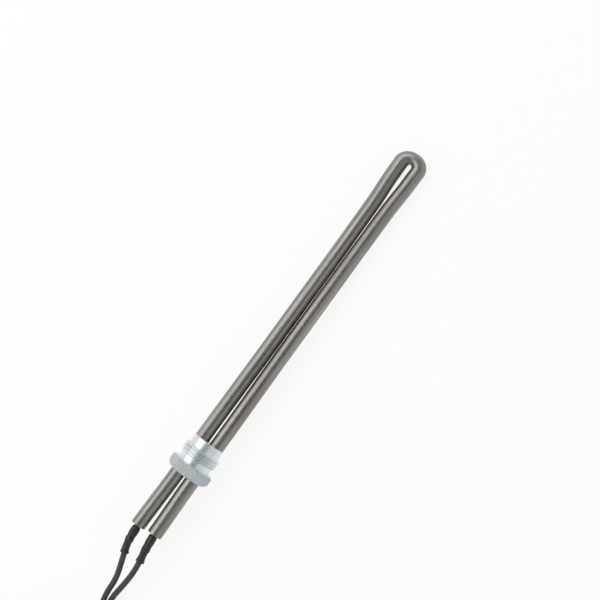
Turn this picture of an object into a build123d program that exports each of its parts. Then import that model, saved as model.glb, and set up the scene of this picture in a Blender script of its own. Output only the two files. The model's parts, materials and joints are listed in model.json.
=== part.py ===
from build123d import *
import math
import os

# Pellet stove igniter: a hairpin heating element held in a threaded bushing, with two
# spliced leads. All sizes are in millimetres.
# The element is drawn in its own frame: X along it towards the bent tip, Y across its
# two legs (leg a on the +Y side), origin at the middle of the bushing's shoulder.
# It is then laid down on the surface z = 0, where it rests on its thread and its tip.

# Sheath: one stainless tube bent back on itself
sheath_diameter = 6.5
sheath_wall = 0.6
tip_reach = 159.4
leg_a_stickout = 28.4
leg_b_stickout = 27.45
# The clear gap between the legs along the element
end_gap = 1.44
waist_gap = 0.2
spread_gap = 0.9
slot_width = 1.8
# Where those gaps lie: from the nose forwards, and from the bend backwards
straight_past_bushing = 3.0
waist_lead = 50.0
waist_end = 49.0
spread_place = 22.0
bend_lead_in = 5.5
# The bend is squeezed flat across its apex and bulges upwards
apex_flattening = 0.9
apex_bulge = 0.4
bend_sections = 13

# Threaded bushing, turned from hexagon bar
hex_across_flats = 17.0
hex_thickness = 5.0
# The corners are turned off: run along the corner's edge, and diameter left on the face
hex_back_chamfer = 1.4
hex_back_face = 16.8
hex_shoulder_chamfer = 0.8
hex_shoulder_face = 17.4
chamfer_overrun = 1.1
neck_length = 2.7
neck_step = 0.3
thread_depth = 1.03
thread_length = 4.6
thread_chamfer = 0.5
nose_length = 4.1
nose_wall = 0.12
nose_chamfer = 0.1
bore_clearance = 0.03
bore_web = 0.64

# Inside the sheath: resistance coil, its pins, packed magnesia and a resin plug
coil_wire_diameter = 3.4
coil_wire_wall = 0.45
coil_start = 22.0
pin_weld = 6.0
pin_clearance = 0.05
fill_clearance = 0.05
seal_recess = 0.6
seal_depth = 7.0
seal_clearance = 0.02

# Splice at each cold end: pin stub, crimp barrel, bared strands and heat-shrink sleeve
splice_lean = 6.0
pin_shank_out = 1.5
stub_diameter = 1.6
stub_length = 3.1
crimp_diameter = 2.8
crimp_length = 6.2
crimp_gap = 0.2
crimp_bore_clearance = 0.03
crimp_dent = 0.15
crimp_dent_width = 0.9
strand_diameter = 1.2
strand_gap = 0.5
strand_end_gap = 0.25
sleeve_tuck = 0.3
sleeve_wall = 0.3
sleeve_clearance = 0.07
sleeve_overlap = 4.4

# Leads: insulated, laid to a small tied coil and ending in push-on terminals
lead_diameter = 2.5
terminal_sheet = 0.35
jacket_clearance = 0.05
terminal_axis = lead_diameter / 2 + jacket_clearance + terminal_sheet
# Route of each lead behind the splice: x from the shoulder, y, height above the surface
lead_a_route = [
    (-48.5, 1.2, 9.3),
    (-57.0, -1.1, 6.8),
    (-66.0, -0.55, 3.4),
    (-73.5, -2.3, 1.6),
    (-80.0, -5.0, 1.3),
    (-85.0, -5.8, 1.3),
]
lead_b_route = [
    (-48.5, -6.1, 9.3),
    (-57.5, -5.15, 6.7),
    (-66.5, -3.5, 3.4),
    (-74.0, -5.3, 1.6),
    (-81.0, -8.4, 1.3),
    (-87.8, -8.8, 1.3),
]
# Coil: lead a winds the inner turns and lead b the outer ones
coil_centre_x = -97.0
coil_centre_y = 5.3
inner_turn_radius = 11.1
outer_turn_radius = 14.1
inner_layers = 4
outer_layers = 3
layer_pitch = 2.6
# Lead ends behind the coil: x and y from its centre, height above the surface
tail_a_route = [
    (-8.2, -11.1, 9.9),
    (-13.0, -10.7, 9.3),
    (-18.4, -8.2, 5.2),
    (-23.2, -5.1, terminal_axis),
    (-28.0, -3.1, terminal_axis),
]
tail_b_route = [
    (-9.2, -14.1, 7.1),
    (-14.0, -14.0, 6.2),
    (-19.0, -13.2, 3.4),
    (-23.6, -12.1, terminal_axis),
    (-28.4, -11.4, terminal_axis),
]
tie_width = 2.4
tie_thickness = 0.5
tie_gap = 0.1
tie_head_width = 4.2
tie_head_height = 3.6
tie_head_depth = 3.0

# Push-on terminal, folded from sheet
terminal_width = 7.7
terminal_roll = 2.1
receptacle_length = 7.8
terminal_neck_width = 2.2
terminal_neck_length = 1.4
terminal_taper_length = 2.6
strand_crimp_diameter = 2.5
strand_crimp_length = 3.4
jacket_crimp_length = 2.4
strand_tip = 0.5
latch_hole_diameter = 1.5

# Worked out from the sizes above
sheath_radius = sheath_diameter / 2
bore_radius = sheath_radius + bore_clearance
bore_pitch = 2 * bore_radius + bore_web
nose_diameter = bore_pitch + 2 * bore_radius + 2 * nose_wall
neck_diameter = nose_diameter + 2 * neck_step
thread_diameter = neck_diameter + 2 * thread_depth
thread_end = neck_length + thread_length
nose_end = thread_end + nose_length
bend_radius = (sheath_diameter + slot_width) / 2
bend_x = tip_reach - (sheath_diameter - apex_flattening) - slot_width / 2
tip_half_height = (sheath_diameter + apex_bulge) / 2
tip_contact_x = bend_x + slot_width / 2 + (sheath_diameter - apex_flattening) / 2
pin_radius = coil_wire_diameter / 2 - coil_wire_wall - pin_clearance
cut_x = {"a": -(hex_thickness + leg_a_stickout), "b": -(hex_thickness + leg_b_stickout)}
side_of = {"a": 1, "b": -1}
splice_start = crimp_gap
splice_end = splice_start + crimp_length
jacket_start = splice_end + strand_gap
coil_base = tie_thickness + tie_gap
FAR = 400.0

# The element rests on its tip and on whichever edge of the bushing stands out furthest
bushing_edges = [
    (thread_end - thread_chamfer, thread_diameter / 2),
    (0, hex_across_flats / 2),
    (-hex_thickness, hex_across_flats / 2),
]
lie_slope = max((r - tip_half_height) / (tip_contact_x - x) for x, r in bushing_edges)
lie_angle = math.degrees(math.atan(lie_slope))
axis_height = tip_half_height * math.cos(math.radians(lie_angle)) + tip_contact_x * math.sin(
    math.radians(lie_angle)
)
lay = Location((0, 0, axis_height), (0, lie_angle, 0))


def corner_radii(points, share):
    """The largest radius at each corner that uses a share of the shorter run beside it."""
    radii = []
    for before, at, after in zip(points, points[1:], points[2:]):
        first = Vector(*at) - Vector(*before)
        second = Vector(*after) - Vector(*at)
        half_turn = math.radians(first.get_angle(second)) / 2
        radii.append(share * min(first.length, second.length) / math.tan(half_turn))
    return radii


def leg_corners(leg):
    """Corners of a leg's centreline from well outside its cut end to the bend."""
    behind = -(hex_thickness + straight_past_bushing)
    end_y = (sheath_diameter + end_gap) / 2
    slope = (end_y - bore_pitch / 2) / (behind - cut_x[leg])
    start_x = cut_x[leg] - 2 * pin_shank_out
    start_y = bore_pitch / 2 + slope * (behind - start_x)
    corners = [
        (start_x, start_y),
        (behind, bore_pitch / 2),
        (nose_end + straight_past_bushing, bore_pitch / 2),
        (nose_end + waist_lead, (sheath_diameter + waist_gap) / 2),
        (bend_x - waist_end, (sheath_diameter + waist_gap) / 2),
        (bend_x - spread_place, (sheath_diameter + spread_gap) / 2),
        (bend_x - bend_lead_in, bend_radius),
        (bend_x, bend_radius),
    ]
    return [(x, y * side_of[leg], 0) for x, y in corners]


def leg_line(leg):
    """A leg's centreline, straight through the bushing and gently bowed in front of it."""
    corners = leg_corners(leg)
    near = corner_radii(corners, 0.12)[:2]
    far = corner_radii(corners, 0.45)[2:]
    return FilletPolyline(*corners, radius=near + far)


def bent_line():
    """The round centreline of the bend, from leg a to leg b."""
    return ThreePointArc(
        (bend_x, bend_radius, 0), (bend_x + bend_radius, 0, 0), (bend_x, -bend_radius, 0)
    )


def rod_along(line, radius):
    """A round rod along a line."""
    start = Plane(origin=line @ 0, z_dir=line % 0)
    return sweep(start * Circle(radius), path=line)


def squeezed_bend(inset):
    """The bend's body, this far inside the sheath's surface, flattened at the apex."""
    sections = []
    for i in range(bend_sections):
        turn = math.pi * i / (bend_sections - 1)
        squeeze = math.sin(turn) ** 2
        thick = sheath_radius - squeeze * apex_flattening / 2
        tall = sheath_radius + squeeze * apex_bulge / 2
        out = slot_width / 2 + thick
        plane = Plane(
            origin=(bend_x + out * math.sin(turn), out * math.cos(turn), 0),
            x_dir=(0, 0, 1),
            z_dir=(math.cos(turn), -math.sin(turn), 0),
        )
        sections.append(plane * Ellipse(tall - inset, thick - inset))
    return loft(sections)


def outside(leg, x):
    """The space behind x on one leg's side."""
    return Pos(x - FAR / 2, side_of[leg] * FAR / 2, 0) * Box(FAR, FAR, FAR)


def hairpin(inset, start):
    """The whole hairpin, inset from the sheath's surface, each leg starting at its x."""
    body = squeezed_bend(inset)
    for leg in "ab":
        body += rod_along(leg_line(leg), sheath_radius - inset) - outside(leg, start[leg])
    return body


def round_hairpin(radius, start):
    """A rod of even thickness along the hairpin, each leg starting at its x."""
    body = rod_along(bent_line(), radius)
    for leg in "ab":
        body += rod_along(leg_line(leg), radius) - outside(leg, start[leg])
    return body


def leg_rod(leg, radius, start, end):
    """A straight-cut piece of rod in one leg."""
    rod = rod_along(leg_line(leg), radius)
    return rod - outside(leg, start) - Pos(end + FAR / 2, 0, 0) * Box(FAR, FAR, FAR)


def both(x):
    return {"a": x, "b": x}


# Sheath
def make_sheath():
    beyond = {leg: cut_x[leg] - 1 for leg in "ab"}
    return hairpin(0, cut_x) - hairpin(sheath_wall, beyond)


# Threaded bushing
def turned(profile):
    """A solid of revolution about X from (x, radius) points."""
    outline = Polyline(*[(x, r) for x, r in profile], close=True)
    return revolve(make_face(outline), axis=Axis.X)


def past_corner(face, chamfer):
    """The chamfer's line carried on past the hexagon's corner: run and radius."""
    corner_radius = hex_across_flats / math.sqrt(3)
    return chamfer_overrun * chamfer, face / 2 + chamfer_overrun * (corner_radius - face / 2)


def make_bushing():
    hexagon = Plane.YZ.offset(-hex_thickness) * RegularPolygon(
        hex_across_flats / 2, 6, major_radius=False
    )
    back_run, back_radius = past_corner(hex_back_face, hex_back_chamfer)
    shoulder_run, shoulder_radius = past_corner(hex_shoulder_face, hex_shoulder_chamfer)
    head = extrude(hexagon, hex_thickness) & turned(
        [
            (-hex_thickness, 0),
            (-hex_thickness, hex_back_face / 2),
            (-hex_thickness + back_run, back_radius),
            (-shoulder_run, shoulder_radius),
            (0, hex_shoulder_face / 2),
            (0, 0),
        ]
    )
    shank = turned(
        [
            (-hex_thickness / 2, 0),
            (-hex_thickness / 2, neck_diameter / 2),
            (neck_length, neck_diameter / 2),
            (neck_length + thread_chamfer, thread_diameter / 2),
            (thread_end - thread_chamfer, thread_diameter / 2),
            (thread_end, thread_diameter / 2 - thread_depth),
            (thread_end, nose_diameter / 2),
            (nose_end - nose_chamfer, nose_diameter / 2),
            (nose_end, nose_diameter / 2 - nose_chamfer),
            (nose_end, 0),
        ]
    )
    body = head + shank
    for side in side_of.values():
        bore = Plane.YZ.offset(-FAR / 2) * Pos(side * bore_pitch / 2, 0) * Circle(bore_radius)
        body -= extrude(bore, FAR)
    return body


# Resistance coil, magnesia, pins and plugs
def make_heating_coil():
    radius = coil_wire_diameter / 2
    inner = round_hairpin(radius - coil_wire_wall, both(coil_start - 1))
    return round_hairpin(radius, both(coil_start)) - inner


def make_magnesia():
    behind_plug = {leg: cut_x[leg] + seal_depth + fill_clearance for leg in "ab"}
    packed = hairpin(sheath_wall + fill_clearance, behind_plug)
    coil_room = coil_wire_diameter / 2 + fill_clearance
    packed -= round_hairpin(coil_room, both(coil_start - fill_clearance))
    for leg in "ab":
        packed -= leg_rod(leg, pin_radius + fill_clearance, cut_x[leg] - 1, coil_start + pin_weld)
    core_radius = coil_wire_diameter / 2 - coil_wire_wall - fill_clearance
    core = round_hairpin(core_radius, both(coil_start + pin_weld + fill_clearance))
    return Compound(children=[*packed.solids(), *core.solids()])


def leg_plane(leg, out):
    """A plane this far outside a leg's cut end, z outwards along the leg."""
    line = leg_line(leg)
    start = Vector(line @ 0)
    way = Vector(line % 0)
    place = start + way * ((cut_x[leg] - out - start.X) / way.X)
    return Plane(origin=place, x_dir=(0, 0, 1), z_dir=way * -1)


def splice_plane(leg):
    """The end of the pin's shank, z outwards along the splice, which leans towards -Y."""
    shank_end = leg_plane(leg, pin_shank_out)
    out = shank_end.z_dir.rotate(Axis.Z, splice_lean)
    return Plane(origin=shank_end.origin, x_dir=(0, 0, 1), z_dir=out)


def along_splice(leg, start, end, radius):
    """A round piece on the splice's axis, measured outwards from the pin's shank."""
    return extrude(splice_plane(leg).offset(start) * Circle(radius), end - start)


def make_pin(leg):
    shank = leg_rod(leg, pin_radius, cut_x[leg] - pin_shank_out, coil_start + pin_weld)
    return shank + along_splice(leg, -pin_radius / 4, stub_length, stub_diameter / 2)


def make_plug(leg):
    room = sheath_radius - sheath_wall - seal_clearance
    plug = leg_rod(leg, room, cut_x[leg] + seal_recess, cut_x[leg] + seal_depth)
    return plug - leg_rod(leg, pin_radius + seal_clearance, cut_x[leg] - 1, 0)


def make_crimp(leg):
    middle = stub_length + crimp_bore_clearance
    barrel = along_splice(leg, splice_start, splice_end, crimp_diameter / 2)
    barrel -= along_splice(leg, 0, middle, stub_diameter / 2 + crimp_bore_clearance)
    barrel -= along_splice(leg, middle, FAR, strand_diameter / 2 + crimp_bore_clearance)
    for place in (0.27, 0.73):
        at = splice_start + place * crimp_length - crimp_dent_width / 2
        band = along_splice(leg, at, at + crimp_dent_width, crimp_diameter / 2)
        barrel -= band - along_splice(leg, 0, FAR, crimp_diameter / 2 - crimp_dent)
    return barrel


def make_strands(leg):
    start = stub_length + 2 * crimp_bore_clearance
    return along_splice(leg, start, jacket_start - strand_end_gap, strand_diameter / 2)


# Leads, in the frame of the surface that the part lies on
def lead_start(leg):
    """Where the insulation starts behind the splice."""
    plane = splice_plane(leg)
    return (lay * Location(plane.origin + plane.z_dir * jacket_start)).position


def lead_points(leg):
    route = {"a": lead_a_route, "b": lead_b_route}[leg]
    return [tuple(lead_start(leg)), *route]


def tail_points(leg):
    route = {"a": tail_a_route, "b": tail_b_route}[leg]
    return [(coil_centre_x + x, coil_centre_y + y, z) for x, y, z in route]


def make_cord(name, points):
    """A stretch of lead as straight runs joined by tangent arcs."""
    radii = corner_radii(points, 0.45)
    line = FilletPolyline(*points, radius=radii)
    cord = rod_along(line, lead_diameter / 2)
    share = cord.volume / (math.pi * lead_diameter**2 / 4 * line.length)
    print(name, "radii", [round(r, 1) for r in radii], "length", round(line.length, 1))
    print(name, "volume over section times length", round(share, 4))
    return cord


def sleeve_body(leg, grow):
    """The heat-shrink sleeve's body over pin, crimp and lead, grown by its wall."""
    plane = splice_plane(leg)
    along = Vector(*lead_points(leg)[1]) - lead_start(leg)
    pin = pin_radius + sleeve_clearance + grow
    crimp = crimp_diameter / 2 + sleeve_clearance + grow
    lead = lead_diameter / 2 + sleeve_clearance + grow
    sections = [lay * leg_plane(leg, -sleeve_tuck).location * Circle(pin)]
    sections.append(lay * leg_plane(leg, pin_shank_out / 2).location * Circle(pin))
    for place in (splice_start - crimp_gap / 2, splice_start + crimp_length / 2, splice_end):
        sections.append(lay * plane.offset(place).location * Circle(crimp))
    for place, radius in ((sleeve_overlap * 0.4, (crimp + lead) / 2), (sleeve_overlap, lead)):
        origin = lead_start(leg) + along.normalized() * place
        sections.append(Plane(origin=origin, x_dir=(0, 0, 1), z_dir=along) * Circle(radius))
    return loft(sections, ruled=True)


def make_sleeve(leg):
    return sleeve_body(leg, sleeve_wall) - sleeve_body(leg, 0)


# Coil of spare lead and its tie
def ring(inner, outer, bottom, top):
    body = Cylinder(outer, top - bottom) - Cylinder(inner, top - bottom)
    return Pos(coil_centre_x, coil_centre_y, (top + bottom) / 2) * body


def layers_top(layers):
    return coil_base + lead_diameter + (layers - 1) * layer_pitch


def make_lead_coil():
    between = (inner_turn_radius + outer_turn_radius) / 2
    inside = inner_turn_radius - lead_diameter / 2
    outside_radius = outer_turn_radius + lead_diameter / 2
    inner_turns = ring(inside, between, coil_base, layers_top(inner_layers))
    outer_turns = ring(between, outside_radius, coil_base, layers_top(outer_layers))
    return inner_turns + outer_turns


def make_tie():
    """A strap round the bundle at the coil's far side, with its lock on the outside."""
    near = -(inner_turn_radius - lead_diameter / 2 - tie_gap)
    far = -(outer_turn_radius + lead_diameter / 2 + tie_gap)
    step = -(inner_turn_radius + outer_turn_radius) / 2 - tie_gap
    low_top = layers_top(outer_layers) + tie_gap
    high_top = layers_top(inner_layers) + tie_gap
    section = Polyline(
        (near, tie_thickness),
        (far, tie_thickness),
        (far, low_top),
        (step, low_top),
        (step, high_top),
        (near, high_top),
        close=True,
    )
    opening = make_face(section)
    outline = offset(opening, tie_thickness, kind=Kind.INTERSECTION)
    strap = extrude(Plane.XZ * (outline - opening), tie_width / 2, both=True)
    lock = Pos(far - tie_thickness - tie_head_depth / 2, 0, tie_thickness + tie_head_height / 2) * Box(
        tie_head_depth, tie_head_width, tie_head_height
    )
    return Pos(coil_centre_x, coil_centre_y, 0) * (strap + lock)


# Push-on terminal: x outwards from the end of the insulation, z = 0 under its sheet
def make_terminal():
    sheet = terminal_sheet
    jacket_hole = lead_diameter / 2 + jacket_clearance
    jacket_outer = jacket_hole + sheet
    strand_outer = strand_crimp_diameter / 2
    strand_hole = strand_outer - sheet
    gap = terminal_neck_length / 2
    across = Plane.YZ
    jacket = across.offset(-jacket_crimp_length) * Pos(0, jacket_outer) * (
        Circle(jacket_outer) - Circle(jacket_hole)
    )
    body = extrude(jacket, jacket_crimp_length)
    strand = across.offset(gap) * Pos(0, strand_outer) * (Circle(strand_outer) - Circle(strand_hole))
    body += extrude(strand, strand_crimp_length)
    strand_end = gap + strand_crimp_length
    body_start = strand_end + terminal_neck_length + terminal_taper_length
    neck = terminal_neck_width / 2
    flat = terminal_width / 2 - terminal_roll / 2
    floor_plan = Polyline(
        (-jacket_crimp_length, -neck),
        (strand_end + terminal_neck_length, -neck),
        (body_start, -flat),
        (body_start + receptacle_length, -flat),
        (body_start + receptacle_length, flat),
        (body_start, flat),
        (strand_end + terminal_neck_length, neck),
        (-jacket_crimp_length, neck),
        close=True,
    )
    floor = extrude(make_face(floor_plan), sheet)
    floor -= Pos(0, 0, jacket_outer) * Rot(0, 90, 0) * Cylinder(jacket_hole, 2 * jacket_crimp_length)
    floor -= Pos(0, 0, strand_outer) * Rot(0, 90, 0) * Cylinder(strand_hole, FAR)
    floor -= Pos(body_start + receptacle_length / 2, 0, 0) * Cylinder(latch_hole_diameter / 2, 4 * sheet)
    body += floor
    # Rolled edges, open towards the sheet where the mating tab slides in
    roll = Circle(terminal_roll / 2) - Circle(terminal_roll / 2 - sheet)
    for side in (1, -1):
        centre = Pos(side * flat, terminal_roll / 2)
        mouth = Pos(side * (flat - terminal_roll / 2), terminal_roll / 4 + sheet / 2) * Rectangle(
            terminal_roll, terminal_roll / 2 - sheet
        )
        edge = across.offset(body_start) * (centre * roll - mouth)
        body += extrude(edge, receptacle_length)
    return body


def make_terminal_strands():
    """The bared strands in the terminal's crimp."""
    radius = strand_diameter / 2
    end = terminal_neck_length / 2 + strand_crimp_length + strand_tip
    tip = Plane.YZ.offset(jacket_clearance) * Pos(0, strand_crimp_diameter / 2) * Circle(radius)
    return extrude(tip, end - jacket_clearance)


def at_lead_end(leg, piece):
    """A piece placed at the end of a lead's insulation, heading on from it."""
    before, end = tail_points(leg)[-2:]
    heading = math.degrees(math.atan2(end[1] - before[1], end[0] - before[0]))
    return Pos(end[0], end[1], 0) * Rot(0, 0, heading) * piece


# The element's own pieces, laid down, then the leads where they lie
element = {
    "sheath": lay * make_sheath(),
    "threaded_bushing": lay * make_bushing(),
    "heating_coil": lay * make_heating_coil(),
    "magnesia_fill": lay * make_magnesia(),
}
for leg in "ab":
    element[f"terminal_pin_{leg}"] = lay * make_pin(leg)
    element[f"end_seal_{leg}"] = lay * make_plug(leg)
    element[f"splice_crimp_{leg}"] = lay * make_crimp(leg)
    element[f"conductor_{leg}"] = lay * make_strands(leg)
    element[f"heat_shrink_{leg}"] = make_sleeve(leg)

cords = {"lead_coil": make_lead_coil(), "coil_tie": make_tie()}
for leg in "ab":
    cords[f"lead_{leg}"] = make_cord(f"lead_{leg}", lead_points(leg))
    cords[f"lead_{leg}_tail"] = make_cord(f"lead_{leg}_tail", tail_points(leg))
    cords[f"spade_terminal_{leg}"] = at_lead_end(leg, make_terminal())
    cords[f"strand_end_{leg}"] = at_lead_end(leg, make_terminal_strands())

# The origin is on the surface under the middle of the element
low = min(piece.bounding_box().min.X for piece in element.values())
high = max(piece.bounding_box().max.X for piece in element.values())
middle = (low + high) / 2
print("lie angle", round(lie_angle, 3), "axis height at shoulder", round(axis_height, 3))
print("shoulder x", round(-middle, 3), "element from", round(low, 2), "to", round(high, 2))
os.makedirs("parts", exist_ok=True)
for name, piece in {**element, **cords}.items():
    export_step(Pos(-middle, 0, 0) * piece, f"parts/{name}.step")
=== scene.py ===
import json
import math

import bmesh
import bpy
from mathutils import Matrix, Vector, noise


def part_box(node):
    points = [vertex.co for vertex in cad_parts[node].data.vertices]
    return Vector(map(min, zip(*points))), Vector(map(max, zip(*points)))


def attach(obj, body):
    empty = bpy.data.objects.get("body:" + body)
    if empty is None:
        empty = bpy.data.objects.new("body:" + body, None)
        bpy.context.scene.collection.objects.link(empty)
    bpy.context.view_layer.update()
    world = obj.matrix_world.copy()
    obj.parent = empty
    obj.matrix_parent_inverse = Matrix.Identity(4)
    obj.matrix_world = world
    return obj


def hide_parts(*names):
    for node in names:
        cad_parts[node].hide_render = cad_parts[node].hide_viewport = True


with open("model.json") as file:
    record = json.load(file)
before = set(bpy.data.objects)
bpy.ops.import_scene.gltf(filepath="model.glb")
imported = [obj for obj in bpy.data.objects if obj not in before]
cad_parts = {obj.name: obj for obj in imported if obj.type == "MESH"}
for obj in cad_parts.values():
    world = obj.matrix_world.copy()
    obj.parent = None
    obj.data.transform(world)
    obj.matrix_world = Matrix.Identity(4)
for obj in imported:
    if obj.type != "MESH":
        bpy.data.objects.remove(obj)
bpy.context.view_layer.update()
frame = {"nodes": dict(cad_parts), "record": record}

# Pellet stove igniter, lying on its thread and its tip. Sizes are in millimetres, and
# MM turns them to the scene's metres.
MM = 0.001

# Photograph: how big a pixel is at the element, and how the camera stands to it
IMAGE_PIXELS = 600
PIXEL_SIZE = 0.4166
LOOK_AT_X = 81.2
LOOK_AT_Y = 4.46
AXIS_LEAN_IN_IMAGE = 35.96
CAMERA_LEAN = 11.5
CAMERA_DISTANCE = 520.0

# Sheath
TUBE_DIAMETER = 6.5
TUBE_WALL = 0.6
SLOT_WIDTH = 1.8
APEX_FLATTENING = 0.9
APEX_BULGE = 0.4
BEND_X = 152.9
CUT_X = {"a": -33.4, "b": -32.45}
# Half the distance between the legs' centrelines, at places along them
LEG_BOW = [
    (-33.4, 3.97),
    (-8.0, 3.6),
    (14.4, 3.6),
    (61.4, 3.35),
    (103.9, 3.35),
    (130.9, 3.46),
    (147.4, 4.08),
    (152.9, 4.15),
]
SIDE = {"a": 1, "b": -1}

# The tube is drawn as rings of edges: around it, along a leg and round the bend
RING_EDGES = 72
LEG_RING_SPACING = 4.0
BEND_RINGS = 40
CUT_RING_INSET = 0.35

# Thread of the bushing
THREAD_DIAMETER = 16.66
THREAD_PITCH = 1.337
THREAD_HEIGHT = 0.856
THREAD_HALF_ANGLE = 27.5
THREAD_START = 2.7
THREAD_END = 7.3
THREAD_CHAMFER = 0.5
CHAMFER_FOOT = 7.3
STEPS_PER_THREAD_TURN = 96

# Heat-shrink sleeves: radius at places from 0 at the cut tube to 1 at the sleeve's end
SLEEVE_TUCK = 0.3
SLEEVE_OVERLAP = 4.4
SLEEVE_WALL = 0.3
SLEEVE_SHAPE = [
    (0.0, 1.46),
    (0.07, 1.5),
    (0.13, 1.84),
    (0.3, 1.86),
    (0.45, 1.74),
    (0.57, 1.86),
    (0.66, 1.6),
    (0.8, 1.56),
    (0.9, 1.62),
    (0.97, 1.84),
    (1.0, 1.8),
]
SLEEVE_RINGS = 90

# Leads
LEAD_DIAMETER = 2.5
# Routes from the splice to the coil: x from the shoulder, y, height above the floor
LEAD_ROUTE = {
    "a": [
        (-41.75, 3.37, 9.91),
        (-48.5, 1.2, 9.3),
        (-57.0, -1.1, 6.8),
        (-66.0, -0.55, 3.4),
        (-73.5, -2.3, 1.6),
        (-80.0, -5.0, 1.3),
        (-85.0, -5.8, 1.3),
    ],
    "b": [
        (-40.78, -4.81, 9.88),
        (-48.5, -6.1, 9.3),
        (-57.5, -5.15, 6.7),
        (-66.5, -3.5, 3.4),
        (-74.0, -5.3, 1.6),
        (-81.0, -8.4, 1.3),
        (-87.8, -8.8, 1.3),
    ],
}
# Coil: where its middle is, and each lead's turns in it
COIL_X = -97.0
COIL_Y = 5.3
COIL_RADIUS = {"a": 11.1, "b": 14.1}
COIL_TURNS = {"a": 4, "b": 3}
POINTS_PER_TURN = 16
LAYER_PITCH = 2.6
CLIMB_FROM = 0.58
CLIMB_TO = 0.86
TIE_LIFT = 0.65
# Routes from the coil to the terminals: x and y from the coil's middle, height
TAIL_ROUTE = {
    "a": [
        (-8.2, -11.1, 9.9),
        (-13.0, -10.7, 9.3),
        (-18.4, -8.2, 5.2),
        (-23.2, -5.1, 1.65),
        (-28.0, -3.1, 1.65),
    ],
    "b": [
        (-9.2, -14.1, 7.1),
        (-14.0, -14.0, 6.2),
        (-19.0, -13.2, 3.4),
        (-23.6, -12.1, 1.65),
        (-28.4, -11.4, 1.65),
    ],
}

# Studio
PAPER_GLOW = 0.88
ROOM_LIGHT = 0.75
SOFT_BOX_TILT = 38.0
SOFT_BOX_DISTANCE = 0.6
SOFT_BOX_HEIGHT = 0.52
SOFT_BOX_ENERGY = 2.5
CARD_LEAN = 8.0
CARD_DISTANCE = 0.6
CARD_LENGTH = 1.6
CARD_WIDTH = 0.47

# The element's own frame, from the two mounts that the frame gives: x along it from
# the shoulder towards the tip, y from leg b to leg a
mounts = {m["name"]: m for m in frame["record"]["mounts"]}
element_axis = Vector(mounts["thread"]["axis"]).normalized()
on_thread = Vector(mounts["thread"]["pos_m"])
on_shoulder = Vector(mounts["shoulder"]["pos_m"])
shoulder_middle = on_thread + element_axis * element_axis.dot(on_shoulder - on_thread)
across = Vector((0, 1, 0))
turn = Matrix((element_axis, across, element_axis.cross(across))).transposed()
element_to_row = Matrix.Translation(shoulder_middle) @ turn.to_4x4()


# Camera
def make_camera():
    """Almost overhead, leaning to leg b's side, with the element slanting up to the right."""
    lean = math.radians(CAMERA_LEAN)
    back = Vector((0, -math.sin(lean), math.cos(lean)))
    along = (element_axis - back * element_axis.dot(back)).normalized()
    side = along.cross(back)
    slant = math.radians(AXIS_LEAN_IN_IMAGE)
    right = along * math.sin(slant) + side * math.cos(slant)
    up = along * math.cos(slant) - side * math.sin(slant)
    look_at = element_to_row @ Vector((LOOK_AT_X * MM, LOOK_AT_Y * MM, 0))
    camera = bpy.data.objects.new("camera", bpy.data.cameras.new("camera"))
    turned = Matrix((right, up, back)).transposed().to_4x4()
    camera.matrix_world = Matrix.Translation(look_at + back * CAMERA_DISTANCE * MM) @ turned
    span = IMAGE_PIXELS * PIXEL_SIZE
    camera.data.lens = camera.data.sensor_width * CAMERA_DISTANCE / span
    camera.data.clip_start = 0.01
    camera.data.clip_end = 20
    bpy.context.scene.collection.objects.link(camera)
    bpy.context.scene.camera = camera


# Materials
def linear(hex_colour):
    """An sRGB hex value as a linear colour."""
    parts = [int(hex_colour[i : i + 2], 16) / 255 for i in (1, 3, 5)]
    return (*[c / 12.92 if c <= 0.04045 else ((c + 0.055) / 1.055) ** 2.4 for c in parts], 1)


def per_mm(*sizes):
    """The scale of a pattern whose features have these sizes in millimetres."""
    return tuple(1 / (size * MM) for size in sizes)


def add_node(material, kind, values=(), links=(), **settings):
    """Adds a node with its settings, its sockets' values and the sockets linked into it."""
    tree = material.node_tree
    node = tree.nodes.new(kind)
    for name, value in settings.items():
        setattr(node, name, value)
    for socket, value in dict(values).items():
        node.inputs[socket].default_value = value
    for socket, source in dict(links).items():
        tree.links.new(source, node.inputs[socket])
    return node


def new_material(name, **shader_values):
    """A material's name and the shader values that are the same all over it."""
    material = bpy.data.materials.new(name)
    material.use_nodes = True
    material.node_tree.nodes.clear()
    shader = add_node(material, "ShaderNodeBsdfPrincipled")
    for socket, value in shader_values.items():
        shader.inputs[socket.replace("_", " ")].default_value = value
    add_node(material, "ShaderNodeOutputMaterial", links={"Surface": shader.outputs[0]})
    return material, shader


def finish_shader(material, shader, colour, roughness, normal=None):
    """Links a material's colour, roughness and bump into its shader."""
    material.node_tree.links.new(colour, shader.inputs["Base Color"])
    material.node_tree.links.new(roughness, shader.inputs["Roughness"])
    if normal:
        material.node_tree.links.new(normal, shader.inputs["Normal"])
    return material


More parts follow.
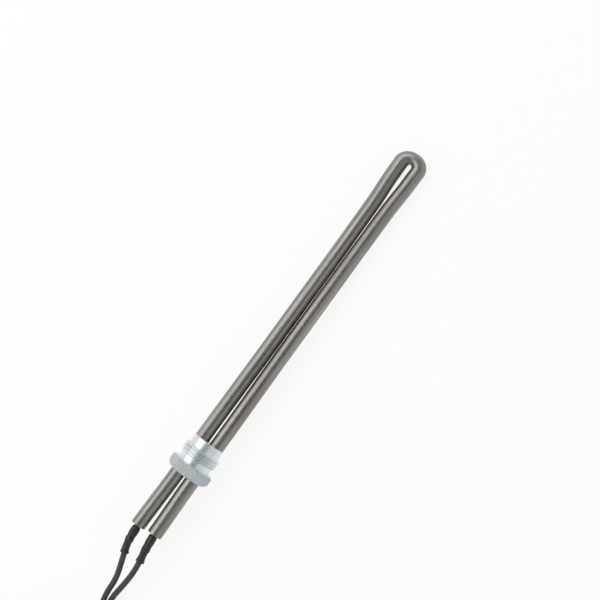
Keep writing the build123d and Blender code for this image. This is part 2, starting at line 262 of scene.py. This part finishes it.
def drawn_stainless():
    """Drawn and annealed stainless tube: warm grey, with die lines that run along it."""
    steel, shader = new_material("drawn_stainless", Metallic=1)
    straight = add_node(steel, "ShaderNodeAttribute", attribute_name="straight")
    place = straight.outputs["Vector"]
    # Die lines are a few hundredths of a millimetre wide; they are drawn wide enough to show
    stretched = add_node(steel, "ShaderNodeMapping", {"Scale": per_mm(22, 0.5, 0.5)}, {"Vector": place})
    lines = add_node(steel, "ShaderNodeTexNoise", {"Scale": 1, "Detail": 3}, {"Vector": stretched.outputs[0]})
    broad_scale = add_node(steel, "ShaderNodeMapping", {"Scale": per_mm(60, 1.3, 1.3)}, {"Vector": place})
    bands = add_node(steel, "ShaderNodeTexNoise", {"Scale": 1, "Detail": 2}, {"Vector": broad_scale.outputs[0]})
    grit_scale = add_node(steel, "ShaderNodeMapping", {"Scale": per_mm(1.4, 0.5, 0.5)}, {"Vector": place})
    grit = add_node(steel, "ShaderNodeTexNoise", {"Scale": 1, "Detail": 4}, {"Vector": grit_scale.outputs[0]})
    drawn = add_node(
        steel,
        "ShaderNodeMix",
        {6: linear("#7f7e79"), 7: linear("#b6b4ac")},
        {0: lines.outputs[0]},
        data_type="RGBA",
    )
    banded = add_node(
        steel,
        "ShaderNodeMapRange",
        {"From Min": 0.35, "From Max": 0.65, "To Min": 0.0, "To Max": 0.75},
        {"Value": bands.outputs[0]},
    )
    toned = add_node(
        steel,
        "ShaderNodeMix",
        {7: linear("#75736e")},
        {0: banded.outputs[0], 6: drawn.outputs[2]},
        data_type="RGBA",
    )
    # Leg b has a faint brown heat tint in long patches
    parts = add_node(steel, "ShaderNodeSeparateXYZ", links={"Vector": place})
    on_leg_b = add_node(
        steel,
        "ShaderNodeMapRange",
        {"From Min": 8 * MM, "From Max": 30 * MM, "To Min": 0.0, "To Max": 1.0},
        {"Value": parts.outputs["X"]},
    )
    patch_scale = add_node(steel, "ShaderNodeMapping", {"Scale": per_mm(38, 3.2, 3.2)}, {"Vector": place})
    patches = add_node(steel, "ShaderNodeTexNoise", {"Scale": 1, "Detail": 2}, {"Vector": patch_scale.outputs[0]})
    patchy = add_node(
        steel,
        "ShaderNodeMapRange",
        {"From Min": 0.5, "From Max": 0.7, "To Min": 0.0, "To Max": 0.5},
        {"Value": patches.outputs[0]},
    )
    tint_share = add_node(
        steel, "ShaderNodeMath", links={0: on_leg_b.outputs[0], 1: patchy.outputs[0]}, operation="MULTIPLY"
    )
    tinted = add_node(
        steel,
        "ShaderNodeMix",
        {7: linear("#8f8179")},
        {0: tint_share.outputs[0], 6: toned.outputs[2]},
        data_type="RGBA",
    )
    roughness = add_node(
        steel,
        "ShaderNodeMapRange",
        {"From Min": 0.3, "From Max": 0.7, "To Min": 0.28, "To Max": 0.44},
        {"Value": grit.outputs[0]},
    )
    relief = add_node(steel, "ShaderNodeMath", links={0: lines.outputs[0], 1: grit.outputs[0]}, operation="ADD")
    bump = add_node(
        steel, "ShaderNodeBump", {"Strength": 0.5, "Distance": 0.07 * MM}, {"Height": relief.outputs[0]}
    )
    return finish_shader(steel, shader, tinted.outputs[2], roughness.outputs[0], bump.outputs[0])


def bright_zinc():
    """Zinc plate on turned and drawn steel: bluish white, duller and mottled on the hexagon."""
    zinc, shader = new_material("bright_zinc_plating", Metallic=0.85)
    straight = add_node(zinc, "ShaderNodeAttribute", attribute_name="straight")
    place = straight.outputs["Vector"]
    along = add_node(zinc, "ShaderNodeSeparateXYZ", links={"Vector": place}).outputs["X"]
    turned = add_node(
        zinc,
        "ShaderNodeMapRange",
        {"From Min": -0.12 * MM, "From Max": -0.02 * MM, "To Min": 0.0, "To Max": 1.0},
        {"Value": along},
    )
    mottle_scale = add_node(zinc, "ShaderNodeMapping", {"Scale": per_mm(0.9, 0.9, 0.9)}, {"Vector": place})
    mottle = add_node(zinc, "ShaderNodeTexNoise", {"Scale": 1, "Detail": 4}, {"Vector": mottle_scale.outputs[0]})
    # Turning marks are about 0.1 mm apart; they are drawn coarser so that they show
    ring_scale = add_node(zinc, "ShaderNodeMapping", {"Scale": per_mm(0.55, 14, 14)}, {"Vector": place})
    rings = add_node(zinc, "ShaderNodeTexNoise", {"Scale": 1, "Detail": 3}, {"Vector": ring_scale.outputs[0]})
    cloud_scale = add_node(zinc, "ShaderNodeMapping", {"Scale": per_mm(4.5, 4.5, 4.5)}, {"Vector": place})
    clouds = add_node(zinc, "ShaderNodeTexNoise", {"Scale": 1, "Detail": 2}, {"Vector": cloud_scale.outputs[0]})
    grain = add_node(
        zinc,
        "ShaderNodeMix",
        links={0: turned.outputs[0], 2: mottle.outputs[0], 3: rings.outputs[0]},
    )
    dull = add_node(
        zinc,
        "ShaderNodeMix",
        {6: linear("#9fabb0"), 7: linear("#c8d1d4")},
        {0: mottle.outputs[0]},
        data_type="RGBA",
    )
    bright = add_node(
        zinc,
        "ShaderNodeMix",
        {6: linear("#ccd6da"), 7: linear("#f2f6f7")},
        {0: clouds.outputs[0]},
        data_type="RGBA",
    )
    colour = add_node(
        zinc,
        "ShaderNodeMix",
        links={0: turned.outputs[0], 6: dull.outputs[2], 7: bright.outputs[2]},
        data_type="RGBA",
    )
    duller = add_node(
        zinc,
        "ShaderNodeMapRange",
        {"From Min": 0.0, "From Max": 1.0, "To Min": 0.42, "To Max": 0.33},
        {"Value": turned.outputs[0]},
    )
    uneven = add_node(
        zinc,
        "ShaderNodeMapRange",
        {"From Min": 0.3, "From Max": 0.7, "To Min": -0.07, "To Max": 0.07},
        {"Value": mottle.outputs[0]},
    )
    roughness = add_node(
        zinc, "ShaderNodeMath", links={0: duller.outputs[0], 1: uneven.outputs[0]}, operation="ADD"
    )
    bump = add_node(
        zinc, "ShaderNodeBump", {"Strength": 0.3, "Distance": 0.05 * MM}, {"Height": grain.outputs[0]}
    )
    return finish_shader(zinc, shader, colour.outputs[2], roughness.outputs[0], bump.outputs[0])


def shrink_tubing():
    """Heat-shrunk polyolefin: black, satin, finely pitted, with a little pale dust."""
    tubing, shader = new_material("heat_shrink_tubing", IOR=1.5)
    place = add_node(tubing, "ShaderNodeTexCoord").outputs["Object"]
    fine = add_node(
        tubing, "ShaderNodeTexNoise", {"Scale": 1 / (0.7 * MM), "Detail": 4}, {"Vector": place}
    )
    slow = add_node(
        tubing, "ShaderNodeTexNoise", {"Scale": 1 / (3.5 * MM), "Detail": 2}, {"Vector": place}
    )
    black = add_node(
        tubing,
        "ShaderNodeMix",
        {6: linear("#161616"), 7: linear("#2c2c2c")},
        {0: slow.outputs[0]},
        data_type="RGBA",
    )
    dust_noise = add_node(
        tubing, "ShaderNodeTexNoise", {"Scale": 1 / (0.55 * MM), "Detail": 1}, {"Vector": place}
    )
    dust = add_node(
        tubing,
        "ShaderNodeMapRange",
        {"From Min": 0.7, "From Max": 0.76, "To Min": 0.0, "To Max": 0.7},
        {"Value": dust_noise.outputs[0]},
    )
    dusty = add_node(
        tubing,
        "ShaderNodeMix",
        {7: linear("#9a9a98")},
        {0: dust.outputs[0], 6: black.outputs[2]},
        data_type="RGBA",
    )
    roughness = add_node(
        tubing,
        "ShaderNodeMapRange",
        {"From Min": 0.3, "From Max": 0.7, "To Min": 0.34, "To Max": 0.56},
        {"Value": slow.outputs[0]},
    )
    bump = add_node(
        tubing, "ShaderNodeBump", {"Strength": 0.5, "Distance": 0.12 * MM}, {"Height": fine.outputs[0]}
    )
    return finish_shader(tubing, shader, dusty.outputs[2], roughness.outputs[0], bump.outputs[0])


def silicone_insulation():
    """Extruded silicone rubber: slate grey, smooth and soft, with a powdery bloom."""
    silicone, shader = new_material("silicone_insulation", IOR=1.43)
    place = add_node(silicone, "ShaderNodeTexCoord").outputs["Object"]
    bloom = add_node(
        silicone, "ShaderNodeTexNoise", {"Scale": 1 / (6 * MM), "Detail": 3}, {"Vector": place}
    )
    skin = add_node(
        silicone, "ShaderNodeTexNoise", {"Scale": 1 / (0.6 * MM), "Detail": 3}, {"Vector": place}
    )
    slate = add_node(
        silicone,
        "ShaderNodeMix",
        {6: linear("#363636"), 7: linear("#4c4c4c")},
        {0: bloom.outputs[0]},
        data_type="RGBA",
    )
    roughness = add_node(
        silicone,
        "ShaderNodeMapRange",
        {"From Min": 0.3, "From Max": 0.7, "To Min": 0.42, "To Max": 0.58},
        {"Value": bloom.outputs[0]},
    )
    bump = add_node(
        silicone, "ShaderNodeBump", {"Strength": 0.25, "Distance": 0.04 * MM}, {"Height": skin.outputs[0]}
    )
    return finish_shader(silicone, shader, slate.outputs[2], roughness.outputs[0], bump.outputs[0])


def worked_metal(name, dark, light, roughest, grain_mm):
    """A small metal piece: its colour varies a little, and fine marks roughen it."""
    metal, shader = new_material(name, Metallic=1)
    place = add_node(metal, "ShaderNodeTexCoord").outputs["Object"]
    scaled = add_node(metal, "ShaderNodeMapping", {"Scale": per_mm(*grain_mm)}, {"Vector": place})
    marks = add_node(metal, "ShaderNodeTexNoise", {"Scale": 1, "Detail": 4}, {"Vector": scaled.outputs[0]})
    colour = add_node(
        metal,
        "ShaderNodeMix",
        {6: linear(dark), 7: linear(light)},
        {0: marks.outputs[0]},
        data_type="RGBA",
    )
    roughness = add_node(
        metal,
        "ShaderNodeMapRange",
        {"From Min": 0.3, "From Max": 0.7, "To Min": roughest - 0.16, "To Max": roughest},
        {"Value": marks.outputs[0]},
    )
    bump = add_node(
        metal, "ShaderNodeBump", {"Strength": 0.3, "Distance": 0.05 * MM}, {"Height": marks.outputs[0]}
    )
    return finish_shader(metal, shader, colour.outputs[2], roughness.outputs[0], bump.outputs[0])


def matt_filling(name, dark, light, grain_mm, roughness_range, ior):
    """A powder, resin or moulded nylon: its colour and gloss vary with its grain."""
    filling, shader = new_material(name, IOR=ior)
    place = add_node(filling, "ShaderNodeTexCoord").outputs["Object"]
    grain = add_node(
        filling, "ShaderNodeTexNoise", {"Scale": 1 / (grain_mm * MM), "Detail": 4}, {"Vector": place}
    )
    colour = add_node(
        filling,
        "ShaderNodeMix",
        {6: linear(dark), 7: linear(light)},
        {0: grain.outputs[0]},
        data_type="RGBA",
    )
    roughness = add_node(
        filling,
        "ShaderNodeMapRange",
        {"From Min": 0.3, "From Max": 0.7, "To Min": roughness_range[0], "To Max": roughness_range[1]},
        {"Value": grain.outputs[0]},
    )
    bump = add_node(
        filling, "ShaderNodeBump", {"Strength": 0.35, "Distance": 0.08 * MM}, {"Height": grain.outputs[0]}
    )
    return finish_shader(filling, shader, colour.outputs[2], roughness.outputs[0], bump.outputs[0])


def dress(material, *nodes):
    """Gives nodes of the solids, which stay as they are, a material."""
    for node in nodes:
        frame["nodes"][node].material_slots[0].material = material


# Pieces
def finish_piece(name, bm, material, nodes, smooth_angle=35):
    """Makes a bmesh an object that replaces its nodes, smooth but for its sharp edges."""
    mesh = bpy.data.meshes.new(name)
    bm.to_mesh(mesh)
    bm.free()
    if "custom_normal" in mesh.attributes:
        mesh.attributes.remove(mesh.attributes["custom_normal"])
    mesh.shade_smooth()
    mesh.set_sharp_from_angle(angle=math.radians(smooth_angle))
    mesh.materials.append(material)
    piece = bpy.data.objects.new(name, mesh)
    bpy.context.scene.collection.objects.link(piece)
    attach(piece, "root")
    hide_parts(*nodes)
    return piece


def between(table, at):
    """A value read from a table of (place, value) pairs, eased between them."""
    if at <= table[0][0]:
        return table[0][1]
    for (start, low), (end, high) in zip(table, table[1:]):
        if at <= end:
            part = (at - start) / (end - start)
            return low + (high - low) * part * part * (3 - 2 * part)
    return table[-1][1]


def straight_tube(stations, radius):
    """An open tube along X with a ring of edges at each station."""
    bm = bmesh.new()
    ring = bmesh.ops.create_circle(bm, segments=RING_EDGES, radius=radius)["verts"]
    bmesh.ops.rotate(bm, verts=ring, matrix=Matrix.Rotation(math.pi / 2, 3, "Y"))
    bmesh.ops.translate(bm, verts=ring, vec=(stations[0], 0, 0))
    edges = bm.edges[:]
    for before, at in zip(stations, stations[1:]):
        made = bmesh.ops.extrude_edge_only(bm, edges=edges)["geom"]
        ring = {v for v in made if isinstance(v, bmesh.types.BMVert)}
        bmesh.ops.translate(bm, verts=list(ring), vec=(at - before, 0, 0))
        edges = [e for e in made if isinstance(e, bmesh.types.BMEdge) and ring.issuperset(e.verts)]
    bmesh.ops.recalc_face_normals(bm, faces=bm.faces)
    return bm


def keep_straight_place(bm):
    """Keeps where each point is before the piece is bent, for its material to read."""
    straight = bm.verts.layers.float_vector.new("straight")
    for v in bm.verts:
        v[straight] = v.co


# Sheath
def make_sheath(material):
    """A straight tube, bent round its slot as the real one is; its middle is at the apex."""
    half_arc = math.pi / 2 * (TUBE_DIAMETER + SLOT_WIDTH) / 2
    legs = {leg: half_arc + BEND_X - CUT_X[leg] for leg in "ab"}
    rings = round(legs["b"] / LEG_RING_SPACING)
    turns = [half_arc * (2 * i / BEND_RINGS - 1) for i in range(BEND_RINGS + 1)]
    run_a = [-legs["a"] + (legs["a"] - half_arc) * i / rings for i in range(rings)]
    run_b = [half_arc + (legs["b"] - half_arc) * (i + 1) / rings for i in range(rings)]
    ends = [run_a[0], run_a[0] + CUT_RING_INSET], [run_b[-1] - CUT_RING_INSET, run_b[-1]]
    stations = [*ends[0], *run_a[1:], *turns, *run_b[:-1], *ends[1]]
    bm = straight_tube([s * MM for s in stations], TUBE_DIAMETER / 2 * MM)
    bmesh.ops.solidify(bm, geom=bm.faces[:], thickness=TUBE_WALL * MM)
    keep_straight_place(bm)
    for v in bm.verts:
        s, out, up = v.co / MM
        past_bend = abs(s) - half_arc
        if past_bend < 0:
            way = math.pi / 2 * (1 + s / half_arc)
            squeeze = math.sin(way) ** 2
            thick = (TUBE_DIAMETER - squeeze * APEX_FLATTENING) / 2
            tall = (TUBE_DIAMETER + squeeze * APEX_BULGE) / 2
            reach = SLOT_WIDTH / 2 + thick + out * 2 * thick / TUBE_DIAMETER
            up *= 2 * tall / TUBE_DIAMETER
            v.co = (BEND_X + reach * math.sin(way), reach * math.cos(way), up)
        else:
            side = SIDE["a" if s < 0 else "b"]
            x = BEND_X - past_bend
            v.co = (x, side * (between(LEG_BOW, x) + out), up)
        v.co *= MM
    bmesh.ops.recalc_face_normals(bm, faces=bm.faces)
    bm.transform(element_to_row)
    piece = finish_piece("hairpin_sheath", bm, material, ["sheath"])


# Threaded bushing
def make_thread():
    """The thread's turns about X, cut off at both ends and chamfered."""
    root = THREAD_DIAMETER / 2 - THREAD_HEIGHT
    flank = THREAD_HEIGHT * math.tan(math.radians(THREAD_HALF_ANGLE))
    flat = THREAD_PITCH / 2 - flank
    outline = [(0, root), (flat, root), (flat + flank, root + THREAD_HEIGHT)]
    outline += [(2 * flat + flank, root + THREAD_HEIGHT), (THREAD_PITCH, root)]
    bm = bmesh.new()
    start = THREAD_START - 1.5 * THREAD_PITCH
    line = [bm.verts.new(((start + x) * MM, 0, r * MM)) for x, r in outline]
    for pair in zip(line, line[1:]):
        bm.edges.new(pair)
    bmesh.ops.subdivide_edges(bm, edges=bm.edges, cuts=2)
    turns = math.ceil((THREAD_END - THREAD_START) / THREAD_PITCH) + 2
    steps = turns * STEPS_PER_THREAD_TURN
    bmesh.ops.spin(
        bm,
        geom=bm.verts[:] + bm.edges[:],
        axis=(1, 0, 0),
        dvec=(THREAD_PITCH / STEPS_PER_THREAD_TURN * MM, 0, 0),
        angle=2 * math.pi * turns,
        steps=steps,
    )
    bmesh.ops.remove_doubles(bm, verts=bm.verts, dist=0.002 * MM)
    inset = 0.02
    for x, way in ((THREAD_START + inset, -1), (THREAD_END - inset, 1)):
        bmesh.ops.bisect_plane(
            bm,
            geom=bm.verts[:] + bm.edges[:] + bm.faces[:],
            dist=0.0001 * MM,
            plane_co=(x * MM, 0, 0),
            plane_no=(way, 0, 0),
            clear_outer=True,
        )
    rise = (THREAD_DIAMETER / 2 - CHAMFER_FOOT) / THREAD_CHAMFER
    for v in bm.verts:
        x = v.co.x / MM
        most = CHAMFER_FOOT + rise * min(x - THREAD_START, THREAD_END - x)
        radius = math.hypot(v.co.y, v.co.z) / MM
        if radius > most:
            v.co.y *= most / radius
            v.co.z *= most / radius
    return bm


def make_bushing(material):
    """The turned bushing as it is in the solids, with its plain thread band made real turns."""
    bm = bmesh.new()
    bm.from_mesh(frame["nodes"]["threaded_bushing"].data)
    bmesh.ops.remove_doubles(bm, verts=bm.verts, dist=0.001 * MM)
    bm.transform(element_to_row.inverted())
    slack = 0.02

    def in_band(v):
        x, radius = v.co.x / MM, math.hypot(v.co.y, v.co.z) / MM
        return THREAD_START - slack < x < THREAD_END + slack and radius > CHAMFER_FOOT - 0.5

    band = [f for f in bm.faces if all(in_band(v) for v in f.verts)]
    bmesh.ops.delete(bm, geom=band, context="FACES")
    open_edges = [e for e in bm.edges if e.is_boundary]
    thread = bpy.data.meshes.new("thread")
    turns = make_thread()
    turns.to_mesh(thread)
    turns.free()
    bm.from_mesh(thread)
    bpy.data.meshes.remove(thread)
    middle = (THREAD_START + THREAD_END) / 2 * MM
    thread_edges = [e for e in bm.edges if e.is_boundary and e not in open_edges]
    for first in (True, False):
        ends = [e for e in open_edges + thread_edges if (e.verts[0].co.x < middle) == first]
        bmesh.ops.bridge_loops(bm, edges=ends)
    bmesh.ops.recalc_face_normals(bm, faces=bm.faces)
    keep_straight_place(bm)
    bm.transform(element_to_row)
    piece = finish_piece("zinc_bushing", bm, material, ["threaded_bushing"])


# Sleeves
def end_middles(node):
    """The middles of a rod-shaped node's two ends, its tip end first."""
    low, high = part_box(node)
    points = [v.co for v in frame["nodes"][node].data.vertices]
    reach = 0.35 * MM
    ends = [p for p in points if p.x > high.x - reach], [p for p in points if p.x < low.x + reach]
    return [sum(end, Vector()) / len(end) for end in ends]


def curve_places(name, points):
    """Closely spaced points along the smooth curve with these control points."""
    curve = new_line(name, points)
    curve.splines[0].resolution_u = 24
    holder = bpy.data.objects.new(name, curve)
    mesh = bpy.data.meshes.new_from_object(holder)
    places = [v.co.copy() for v in mesh.vertices]
    bpy.data.meshes.remove(mesh)
    bpy.data.curves.remove(curve)
    return places


def bend_along(bm, places):
    """Bends a straight piece so that its X axis follows a line of places."""
    lengths = [0]
    for before, at in zip(places, places[1:]):
        lengths.append(lengths[-1] + (at - before).length)
    for v in bm.verts:
        s, side, up = v.co
        i = min(max(sum(length < s for length in lengths), 1), len(places) - 1)
        run = places[i] - places[i - 1]
        way = run.normalized()
        place = places[i - 1] + way * (s - lengths[i - 1])
        sideways = Vector((0, 0, 1)).cross(way).normalized()
        v.co = place + sideways * side + way.cross(sideways) * up


def make_sleeve(leg, material):
    cut_y = between(LEG_BOW, CUT_X[leg]) * SIDE[leg]
    tube_end = element_to_row @ Vector(((CUT_X[leg] + SLEEVE_TUCK) * MM, cut_y * MM, 0))
    crimp_start, crimp_end = end_middles(f"splice_crimp_{leg}")
    jacket_start, ahead = lead_points(leg)[:2]
    sleeve_end = jacket_start + (ahead - jacket_start).normalized() * SLEEVE_OVERLAP * MM
    places = curve_places("sleeve", [tube_end, crimp_start, crimp_end, jacket_start, sleeve_end])
    length = sum((at - before).length for before, at in zip(places, places[1:]))
    bm = straight_tube([length * i / SLEEVE_RINGS for i in range(SLEEVE_RINGS + 1)], MM)
    seed = Vector((0, 0, 7 if leg == "a" else 31))
    for v in bm.verts:
        part = v.co.x / length
        radius = between(SLEEVE_SHAPE, part)
        direction = Vector((0, v.co.y, v.co.z)).normalized()
        spot = Vector((v.co.x / MM * 0.42, direction.y * 0.9, direction.z * 0.9)) + seed
        radius += 0.16 * noise.noise(spot) + 0.07 * abs(noise.noise(spot * 2.3))
        v.co.y = direction.y * radius * MM
        v.co.z = direction.z * radius * MM
    bmesh.ops.solidify(bm, geom=bm.faces[:], thickness=SLEEVE_WALL * MM)
    keep_straight_place(bm)
    bend_along(bm, places)
    bmesh.ops.recalc_face_normals(bm, faces=bm.faces)
    piece = finish_piece(f"shrink_sleeve_{leg}", bm, material, [f"heat_shrink_{leg}"], 50)


# Cords
def coil_points(leg):
    """A lead's turns, clockwise from the coil's -Y side, each layer on the one below."""
    turns = COIL_TURNS[leg]
    radius = COIL_RADIUS[leg] / math.cos(math.pi / POINTS_PER_TURN)
    points = []
    for i in range(turns * POINTS_PER_TURN + 1):
        done = i / POINTS_PER_TURN
        layer, part = divmod(done, 1)
        climb = min(max((part - CLIMB_FROM) / (CLIMB_TO - CLIMB_FROM), 0), 1)
        climb = climb * climb * (3 - 2 * climb)
        height = LEAD_DIAMETER / 2 + LAYER_PITCH * min(layer + climb, turns - 1)
        over_tie = max(math.cos(2 * math.pi * (part - 0.25)), 0) ** 2
        angle = -math.pi / 2 - 2 * math.pi * done
        x = COIL_X + radius * math.cos(angle)
        y = COIL_Y + radius * math.sin(angle)
        points.append((x, y, height + TIE_LIFT * over_tie))
    return points


def lead_points(leg):
    """A lead's whole line, in the row's frame."""
    tail = [(COIL_X + x, COIL_Y + y, z) for x, y, z in TAIL_ROUTE[leg]]
    points = LEAD_ROUTE[leg] + coil_points(leg) + tail
    return [Vector((x * MM + shoulder_middle.x, y * MM, z * MM)) for x, y, z in points]


def new_line(name, points):
    """A smooth open curve with these control points."""
    curve = bpy.data.curves.new(name, "CURVE")
    curve.dimensions = "3D"
    spline = curve.splines.new("NURBS")
    spline.points.add(len(points) - 1)
    for point, place in zip(spline.points, points):
        point.co = (*place, 1)
    spline.order_u = 3
    spline.use_endpoint_u = True
    spline.resolution_u = 8
    return curve


def make_lead(leg, material):
    curve = new_line(f"lead_wire_{leg}", lead_points(leg))
    curve.bevel_depth = LEAD_DIAMETER / 2 * MM
    curve.bevel_resolution = 6
    curve.use_fill_caps = True
    curve.materials.append(material)
    lead = bpy.data.objects.new(f"lead_wire_{leg}", curve)
    bpy.context.scene.collection.objects.link(lead)
    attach(lead, "root")
    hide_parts(f"lead_{leg}", f"lead_{leg}_tail", "lead_coil")
    return lead


make_camera()
silicone = silicone_insulation()
shrink = shrink_tubing()
make_sheath(drawn_stainless())
make_bushing(bright_zinc())
for leg in "ab":
    make_lead(leg, silicone)
    make_sleeve(leg, shrink)

# Tinned brass is pale and a little warm, and takes a satin from rolling and folding
tinned_brass = worked_metal("tinned_brass", "#b9b4a8", "#dcd8cd", 0.42, (1.6, 0.5, 0.5))
# Fine bare copper strands are reddish, with a groove between one strand and the next
copper_strands = worked_metal("bare_copper_strands", "#a8623f", "#d99a72", 0.45, (4, 0.28, 0.28))
# Nickel-chromium wire is grey and oxidised dark by its first heating
nickel_chromium = worked_metal("oxidised_nickel_chromium_wire", "#4c4743", "#77706a", 0.55, (0.9, 2.5, 2.5))
# Pins are drawn steel, grey with faint lines along them
drawn_steel = worked_metal("drawn_steel_pin", "#86857f", "#a9a7a0", 0.4, (6, 0.4, 0.4))
# Magnesia is a chalky off-white powder, packed hard
magnesia = matt_filling("packed_magnesia", "#d9d4c8", "#f0ece2", 0.5, (0.85, 0.98), 1.7)
# The seal is a cream resin, set with a dull skin
seal = matt_filling("cast_resin_seal", "#b8ab93", "#d2c7b0", 0.8, (0.45, 0.65), 1.52)
# The tie is moulded nylon, black with a fine satin grain
nylon = matt_filling("moulded_black_nylon", "#1f1f20", "#2d2d2f", 0.4, (0.4, 0.55), 1.53)
dress(nickel_chromium, "heating_coil")
dress(magnesia, "magnesia_fill")
dress(nylon, "coil_tie")
for leg in "ab":
    dress(drawn_steel, f"terminal_pin_{leg}")
    dress(seal, f"end_seal_{leg}")
    dress(tinned_brass, f"splice_crimp_{leg}", f"spade_terminal_{leg}")
    dress(copper_strands, f"conductor_{leg}", f"strand_end_{leg}")


# Floor and light
def white_paper():
    """Seamless white paper: white wherever it is seen, with the object's own soft shadow."""
    paper, shader = new_material("white_paper", Roughness=0.9, Specular_IOR_Level=0.1)
    shader.inputs["Base Color"].default_value = linear("#f8f8f7")
    output = paper.node_tree.nodes["Material Output"]
    glow = add_node(paper, "ShaderNodeEmission", {"Color": (1, 1, 1, 1), "Strength": 1})
    rays = add_node(paper, "ShaderNodeLightPath").outputs
    seen = add_node(
        paper,
        "ShaderNodeMath",
        links={0: rays["Is Camera Ray"], 1: rays["Is Glossy Ray"]},
        operation="ADD",
    )
    seen_or_through = add_node(
        paper,
        "ShaderNodeMath",
        links={0: seen.outputs[0], 1: rays["Is Transmission Ray"]},
        operation="ADD",
        use_clamp=True,
    )
    share = add_node(
        paper, "ShaderNodeMath", {1: PAPER_GLOW}, {0: seen_or_through.outputs[0]}, operation="MULTIPLY"
    )
    mixed = add_node(
        paper,
        "ShaderNodeMixShader",
        links={0: share.outputs[0], 1: shader.outputs[0], 2: glow.outputs[0]},
    )
    paper.node_tree.links.new(mixed.outputs[0], output.inputs["Surface"])
    return paper


def flat_sheet(name, material, width, depth, matrix):
    """A flat sheet of the studio, placed by a matrix."""
    bm = bmesh.new()
    bmesh.ops.create_grid(bm, x_segments=1, y_segments=1, size=0.5)
    bm.transform(matrix @ Matrix.Diagonal((width, depth, 1, 1)))
    sheet = bpy.data.objects.new(name, bpy.data.meshes.new(name))
    bm.to_mesh(sheet.data)
    bm.free()
    sheet.data.materials.append(material)
    bpy.context.scene.collection.objects.link(sheet)
    return sheet


flat_sheet("floor", white_paper(), 8, 8, Matrix())

# A dim card overhead, behind the camera, gives the metal its darker middles
card_matter, card_shader = new_material("grey_card", Roughness=0.9)
card_shader.inputs["Base Color"].default_value = linear("#8c8c8c")
lean = math.radians(CARD_LEAN)
card_place = Matrix.Rotation(lean, 4, "X") @ Matrix.Translation((0.03, 0, CARD_DISTANCE))
card = flat_sheet("overhead_card", card_matter, CARD_LENGTH, CARD_WIDTH, card_place)
card.visible_camera = False

lamp = bpy.data.lights.new("soft_box", "AREA")
lamp.shape = "RECTANGLE"
lamp.size = 1.4
lamp.size_y = SOFT_BOX_HEIGHT
lamp.energy = SOFT_BOX_ENERGY
soft_box = bpy.data.objects.new("soft_box", lamp)
tilt = math.radians(SOFT_BOX_TILT)
soft_box.location = (0.03, SOFT_BOX_DISTANCE * math.sin(tilt), SOFT_BOX_DISTANCE * math.cos(tilt))
soft_box.rotation_euler = (-tilt, 0, 0)
soft_box.visible_camera = False
bpy.context.scene.collection.objects.link(soft_box)

world = bpy.data.worlds.new("studio")
world.use_nodes = True
world.node_tree.nodes["Background"].inputs[0].default_value = (1, 1, 1, 1)
world.node_tree.nodes["Background"].inputs[1].default_value = ROOM_LIGHT
bpy.context.scene.world = world
bpy.context.scene.view_settings.view_transform = "Standard"
